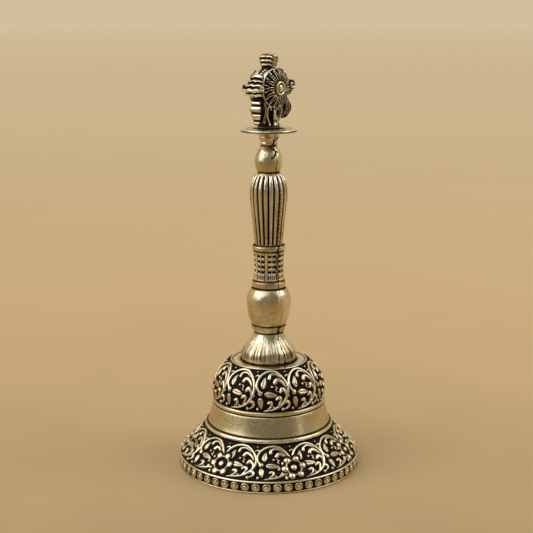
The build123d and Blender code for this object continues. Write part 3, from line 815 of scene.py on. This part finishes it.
# A ribbon's folds from top to bottom: (height above the wheel's middle, outer x, half thickness, tone).
RIBBON = [
    (-1.6, 7.2, 1.8, 0), (-3.4, 7.6, 2, 0.1), (-4.3, 7.5, 2.2, 0), (-5, 8.5, 2.5, 0.9),
    (-5.7, 8.7, 2.6, 1), (-6.3, 7.9, 2.4, 0), (-7, 8.7, 2.8, 1), (-7.9, 8.9, 2.9, 0.95),
    (-8.7, 8.6, 2.8, 0.7), (-9.3, 7.7, 2.4, 0), (-10, 8.5, 2.6, 1), (-10.7, 8.3, 2.2, 0.9),
    (-11.6, 7.9, 1.8, 0.9), (-12.3, 7.3, 1.5, 0), (-12.9, 8, 1.7, 0.95), (-13.5, 7.8, 1.4, 0.6),
    (-14, 7, 1, 0)]
RIBBON_INNER = 5.2         # x of the side next to the wheel
RIBBON_SIDES = 48


def ribbon(way, name, flare, length, pleats):
    """A scarf end: level folds on its outer side, and upright folds that fan out on its front and back.

    flare carries its lower end outwards and to the front, in mm. length is a share of RIBBON's."""
    line = curve_through(RIBBON, 4)
    angle = np.arange(RIBBON_SIDES) * tau / RIBBON_SIDES
    x_mid = (line[:, 1] + RIBBON_INNER)[:, None] / 2
    x_half = (line[:, 1] - RIBBON_INNER)[:, None] / 2
    c = np.sign(np.cos(angle)) * np.abs(np.cos(angle)) ** 0.6
    s = np.sign(np.sin(angle)) * np.abs(np.sin(angle)) ** 0.6
    on_face = smoothstep(0.72, 0.95, np.abs(s))
    half = line[:, 2][:, None] + 0.3
    drop = smoothstep(-2.0, -9.0, line[:, 0])[:, None] * flare
    x = way * (x_mid + x_half * c + drop)
    y = half * s - 0.6 * drop
    z = np.broadcast_to((WHEEL_Z + length * line[:, 0])[:, None], x.shape)
    tone = np.where(on_face > 0.4, 0.0, line[:, 3][:, None])
    pieces = Pieces()
    pieces.add(np.stack([x, y, z], axis=-1), rows_closed(len(line), RIBBON_SIDES), tone)
    for face in (-1, 1):
        for k in range(pleats):
            top = way * (6.0 + 0.5 * k)
            bottom = way * (5.6 + (0.85 + 0.25 * flare) * k + 0.3 * flare)
            middle = 0.4 * top + 0.6 * bottom
            depth = 2.9 + 0.5 * flare * (face < 0)
            pleat = [(top, face * 1.7, WHEEL_Z - 3.0, 0.10, 0.2),
                     (middle, face * depth, WHEEL_Z - 7.0 * length, 0.15, 0.5),
                     (bottom, face * depth, WHEEL_Z - 9.8 * length, 0.17, 0.5),
                     (bottom, face * 1.6, WHEEL_Z - 13.4 * length, 0.12, 0.3)]
            rod(pieces, pleat, (0, face, 0), sides=10, lit=(0.35, 0.85))
    pieces.build(name)


# Heights here are above the plate. The foot and stem's outline is (radius, height, tone); the foot's low
# tones are painted shadow where it stands on the plate.
STEM = [(0.02, 0, 0), (4.2, 0, 0.1), (4.35, 0.5, 0.5), (4.1, 1, 0.3), (3, 1.4, 0.05),
        (2.3, 2.2, 0), (2.1, 4, 0), (2.2, 6.5, 0), (2.6, 8.8, 0), (0.02, 9.2, 0)]
# The drop on the stem's front and back: (y, height, half width, half height).
DROP = [(2.2, 7.9, 0.15, 0.2), (2.6, 6.7, 0.45, 0.5), (2.8, 4.9, 0.8, 0.75), (2.8, 3.8, 0.9, 0.8),
        (2.6, 2.8, 0.45, 0.5), (2.7, 1.9, 0.5, 0.5), (3.2, 1.1, 0.7, 0.4)]
# The scroll beside the drop and the leaf beside the scroll: (x, y, height).
STEM_SCROLL = [(2.1, 2.6, 7.1), (2.5, 2.8, 8.3), (3.4, 2.8, 8.7), (4.2, 2.8, 7.9), (4.4, 2.7, 6.3),
               (4, 2.5, 4.5), (3.2, 2.4, 3.1), (2.8, 2.6, 1.9), (3.4, 2.9, 1.2)]
STEM_LEAF = [(4, 0.9, 9.1), (4.6, 1, 7.5), (4.5, 0.9, 5.7), (3.8, 0.8, 3.9), (3.4, 0.8, 2.1)]


def stem():
    """The dark foot and stem, with a drop, two scrolls and two leaves on its front and on its back. The foot
    is painted dark as its shadow on the plate.
    """
    outline = dense_outline([(r, PLATE_Z1 + up, tone) for r, up, tone in STEM], 0.4)
    pieces = Pieces()
    pieces.add(*turned(outline, 64))
    for face in (-1, 1):
        drop = [(0, face * y, PLATE_Z1 + up, wide, tall) for y, up, wide, tall in DROP]
        rod(pieces, drop, (0, face, 0), sides=14)
        for way in (-1, 1):
            scroll = [(way * x, face * y, PLATE_Z1 + up, 0.34, 0.36) for x, y, up in STEM_SCROLL]
            rod(pieces, scroll, (0, face, 0), sides=8)
            leaf = [(way * x, face * y, PLATE_Z1 + up, 0.5, 0.5) for x, y, up in STEM_LEAF]
            rod(pieces, leaf, (way, 0, 0), sides=8)
    pieces.build("finial_stem")


def finial():
    wheel()
    flames()
    ribbon(-1, "left_ribbon", 0.0, 1.0, 2)
    ribbon(1, "right_ribbon", 1.1, 0.85, 4)
    stem()


# ================ materials
def shader(name):
    mat = bpy.data.materials.new(name)
    mat.use_nodes = True
    return mat, mat.node_tree, mat.node_tree.nodes["Principled BSDF"]


def noise(tree, coords, scale, detail):
    """Noise with features about 1 / scale metres wide."""
    node = tree.nodes.new("ShaderNodeTexNoise")
    node.inputs["Scale"].default_value = scale
    node.inputs["Detail"].default_value = detail
    node.inputs["Roughness"].default_value = 0.6
    tree.links.new(coords, node.inputs["Vector"])
    return node.outputs["Fac"]


def added(tree, a, b, clamp=False):
    node = tree.nodes.new("ShaderNodeMath")
    node.use_clamp = clamp
    tree.links.new(a, node.inputs[0])
    tree.links.new(b, node.inputs[1])
    return node.outputs[0]


def spread(tree, value, low, high, to_low, to_high):
    """value, with low to high stretched to to_low to to_high, and no further."""
    node = tree.nodes.new("ShaderNodeMapRange")
    node.inputs["From Min"].default_value = low
    node.inputs["From Max"].default_value = high
    node.inputs["To Min"].default_value = to_low
    node.inputs["To Max"].default_value = to_high
    tree.links.new(value, node.inputs["Value"])
    return node.outputs["Result"]


def ramp(tree, value, stops):
    """A colour from stops of (place, colour)."""
    node = tree.nodes.new("ShaderNodeValToRGB")
    elements = node.color_ramp.elements
    while len(elements) < len(stops):
        elements.new(0.5)
    for element, (place, colour) in zip(elements, stops):
        element.position = place
        element.color = (*colour, 1)
    tree.links.new(value, node.inputs["Fac"])
    return node.outputs["Color"]


def bump(tree, height, strength, metres, bsdf):
    node = tree.nodes.new("ShaderNodeBump")
    node.inputs["Strength"].default_value = strength
    node.inputs["Distance"].default_value = metres
    tree.links.new(height, node.inputs["Height"])
    tree.links.new(node.outputs["Normal"], bsdf.inputs["Normal"])


# Patina in the hollows, brass on smooth bands and silvery metal on crests, by tone, which in places also
# holds painted shade and painted highlights.
BRASS_STOPS = [(0.0, (0.006, 0.005, 0.004)), (0.30, (0.02, 0.016, 0.01)), (0.52, (0.19, 0.15, 0.085)),
               (0.70, (0.49, 0.41, 0.245)), (0.82, (0.62, 0.53, 0.33)), (0.92, (0.79, 0.73, 0.56)),
               (1.0, (0.89, 0.86, 0.75))]
PATINA_ROUGH = 0.62
POLISHED_ROUGH = 0.20


def antique_brass(name):
    """Silvered brass: black where the tone attribute is low (patina, and painted shade in places), polished
    metal where it is high (wear, and painted highlights in places).
    """
    mat, tree, bsdf = shader(name)
    coords = tree.nodes.new("ShaderNodeTexCoord").outputs["Object"]
    attribute = tree.nodes.new("ShaderNodeAttribute")
    attribute.attribute_name = "tone"
    tone = attribute.outputs["Fac"]
    cloud = noise(tree, coords, 140, 4)
    tarnish = noise(tree, coords, 620, 3)
    pit = noise(tree, coords, 1900, 1)
    shift = added(tree, spread(tree, cloud, 0.3, 0.7, -0.06, 0.05),
                  spread(tree, tarnish, 0.3, 0.7, -0.05, 0.04))
    pits = spread(tree, pit, 0.68, 0.76, 0.0, -0.12)
    level = added(tree, added(tree, tone, shift), pits, clamp=True)
    tree.links.new(ramp(tree, level, BRASS_STOPS), bsdf.inputs["Base Color"])
    tree.links.new(spread(tree, level, 0.15, 0.5, 0.25, 1.0), bsdf.inputs["Metallic"])
    fine = noise(tree, coords, 900, 2)
    polish = spread(tree, level, 0.2, 0.9, PATINA_ROUGH, POLISHED_ROUGH)
    streaks = spread(tree, fine, 0.3, 0.7, -0.06, 0.08)
    roughness = added(tree, polish, streaks, clamp=True)
    tree.links.new(roughness, bsdf.inputs["Roughness"])
    bsdf.inputs["Specular IOR Level"].default_value = 0.2
    pitted = added(tree, tarnish, spread(tree, pit, 0.6, 0.75, 0.0, -0.6))
    bump(tree, pitted, 0.35, 0.00008, bsdf)
    return mat


def plain_metal(name, light, dark, rough):
    """Dull unplated metal inside the bell, mottled and finely scratched."""
    mat, tree, bsdf = shader(name)
    coords = tree.nodes.new("ShaderNodeTexCoord").outputs["Object"]
    cloud = noise(tree, coords, 260, 4)
    fine = noise(tree, coords, 1500, 2)
    tree.links.new(ramp(tree, cloud, [(0.3, dark), (0.7, light)]), bsdf.inputs["Base Color"])
    bsdf.inputs["Metallic"].default_value = 1.0
    tree.links.new(spread(tree, fine, 0.3, 0.7, rough - 0.06, rough + 0.1), bsdf.inputs["Roughness"])
    bump(tree, fine, 0.25, 0.00005, bsdf)
    return mat


def paint(obj, material):
    obj.data.materials.clear()
    obj.data.materials.append(material)


# ================ studio
# The camera, fitted to the bell's outline. Away and up are metres from the axis and from the floor.
LENS_MM = 77.9
SHIFT_X = -0.0042
CAMERA_AWAY = 0.4495
CAMERA_UP = 0.1770
CAMERA_DOWNWARDS = radians(12.03)

# What the polished metal mirrors: a dim room on the camera's side and a backdrop behind the bell.
ROOM_DIM = (0.25, 0.225, 0.18)
BACKDROP = (0.6, 0.49, 0.33)
# What the camera sees past the floor.
HORIZON = (0.64, 0.52, 0.33)
# The floor's colour by distance along the view, as (metres behind the bell, colour). Its darkening towards
# the camera and brightening far behind the bell are painted shade and painted light.
FLOOR_WITH_PAINTED_SHADE = [(-0.60, (0.3, 0.225, 0.125)), (-0.20, (0.38, 0.285, 0.16)), (-0.04, (0.49, 0.367, 0.204)),
         (0.02, (0.51, 0.383, 0.214)), (0.21, (0.592, 0.44, 0.25)), (0.45, (0.622, 0.478, 0.284)),
         (1.70, (0.755, 0.632, 0.436)), (6.0, (0.8, 0.69, 0.505)),
         (25.0, (0.845, 0.757, 0.596))]
FLOOR_HALF = 60.0          # metres

# (name, degrees to the right of the view, degrees up, width and height in metres, watts)
SOFTBOXES = [("soft_left", -70, 26, 1.1, 0.9, 4.0), ("soft_right", 88, 40, 0.8, 0.8, 4.0),
             ("strip_right", 62, 14, 0.20, 0.8, 0.35)]
SOFTBOX_AWAY = 1.3
LIT_POINT = Vector((0, 0, 0.08))
SUN_STRENGTH = 1.15
SUN_WIDTH = radians(70)
SUN_FROM_ABOVE = radians(34)
SUN_TURN = -62             # degrees to the right of the view


def camera():
    """Stands at the photograph's angle, a little above the bell's tip, and looks down."""
    data = bpy.data.cameras.new("camera")
    data.lens = LENS_MM
    data.shift_x = SHIFT_X
    data.clip_start = 0.01
    obj = placed("camera", data)
    az = radians(VIEW_AZIMUTH)
    obj.location = (CAMERA_AWAY * sin(az), -CAMERA_AWAY * cos(az), CAMERA_UP)
    obj.rotation_euler = (pi / 2 - CAMERA_DOWNWARDS, 0, az)
    bpy.context.scene.camera = obj


def softbox(name, turn, elevation, width, height, power):
    """A rectangular light that faces the bell and that the camera doesn't see."""
    data = bpy.data.lights.new(name, "AREA")
    data.shape = "RECTANGLE"
    data.size = width
    data.size_y = height
    data.energy = power
    obj = placed(name, data)
    az = radians(VIEW_AZIMUTH + turn)
    el = radians(elevation)
    place = Vector((sin(az) * cos(el), -cos(az) * cos(el), sin(el))) * SOFTBOX_AWAY
    obj.location = place + LIT_POINT
    obj.rotation_euler = (-place).to_track_quat("-Z", "Y").to_euler()
    obj.visible_camera = False


def sun():
    """A very wide sun, which lights the floor and the bell from above."""
    data = bpy.data.lights.new("soft_top", "SUN")
    data.energy = SUN_STRENGTH
    data.angle = SUN_WIDTH
    obj = placed("soft_top", data)
    obj.rotation_euler = (SUN_FROM_ABOVE, 0, radians(VIEW_AZIMUTH + SUN_TURN))


def along_view(tree, coords):
    """How far coords lie behind the bell, along the photograph's view."""
    node = tree.nodes.new("ShaderNodeVectorMath")
    node.operation = "DOT_PRODUCT"
    az = radians(VIEW_AZIMUTH)
    node.inputs[1].default_value = (-sin(az), cos(az), 0)
    tree.links.new(coords, node.inputs[0])
    return node.outputs["Value"]


def sky():
    """The room as the metal and the floor see it, and the plain colour that the camera sees."""
    world = bpy.data.worlds.new("studio")
    bpy.context.scene.world = world
    world.use_nodes = True
    tree = world.node_tree
    direction = tree.nodes.new("ShaderNodeTexCoord").outputs["Generated"]
    side = spread(tree, along_view(tree, direction), -0.55, 0.15, 0.0, 1.0)
    room = ramp(tree, side, [(0.0, ROOM_DIM), (1.0, BACKDROP)])
    plain = tree.nodes.new("ShaderNodeMixRGB")
    plain.inputs["Color2"].default_value = (*HORIZON, 1)
    tree.links.new(room, plain.inputs["Color1"])
    tree.links.new(tree.nodes.new("ShaderNodeLightPath").outputs["Is Camera Ray"], plain.inputs["Fac"])
    tree.links.new(plain.outputs["Color"], tree.nodes["Background"].inputs["Color"])


def studio():
    corners = [(-1, -1), (1, -1), (1, 1), (-1, 1)]
    mesh = bpy.data.meshes.new("floor")
    mesh.from_pydata([(x * FLOOR_HALF, y * FLOOR_HALF, 0) for x, y in corners], [], [(0, 1, 2, 3)])
    floor = placed("floor", mesh)
    mat, tree, bsdf = shader("pale_floor_painted_shade")
    coords = tree.nodes.new("ShaderNodeTexCoord").outputs["Object"]
    nearest = FLOOR_WITH_PAINTED_SHADE[0][0]
    furthest = FLOOR_WITH_PAINTED_SHADE[-1][0]
    # Painted shade and light: the colour steps along the view.
    share = spread(tree, along_view(tree, coords), nearest, furthest, 0.0, 1.0)
    mottle = spread(tree, noise(tree, coords, 9, 2), 0.3, 0.7, -0.002, 0.002)
    place = added(tree, share, mottle, clamp=True)
    stops = [((metres - nearest) / (furthest - nearest), colour) for metres, colour in FLOOR_WITH_PAINTED_SHADE]
    tree.links.new(ramp(tree, place, stops), bsdf.inputs["Base Color"])
    bsdf.inputs["Roughness"].default_value = 0.9
    bsdf.inputs["Specular IOR Level"].default_value = 0.1
    paint(floor, mat)
    for box in SOFTBOXES:
        softbox(*box)
    sun()
    sky()
    bpy.context.scene.view_settings.view_transform = "Standard"


# ================ assembly
camera()
studio()
bell_cup()
handle_half(1)
handle_half(-1)
plate()
finial()

brass = antique_brass("antique_brass")
steel = plain_metal("dull_steel", (0.42, 0.41, 0.39), (0.2, 0.18, 0.16), 0.38)
ball_brass = plain_metal("ball_brass", (0.62, 0.47, 0.22), (0.36, 0.26, 0.12), 0.34)
for obj in list(bpy.data.objects):
    if obj.type == "MESH" and "tone" in obj.data.attributes:
        paint(obj, brass)
for node in ("crown_washer", "crown_nut", "eye_bolt", "clapper_link", "clapper_rod"):
    paint(frame["nodes"][node], steel)
paint(frame["nodes"]["clapper_ball"], ball_brass)
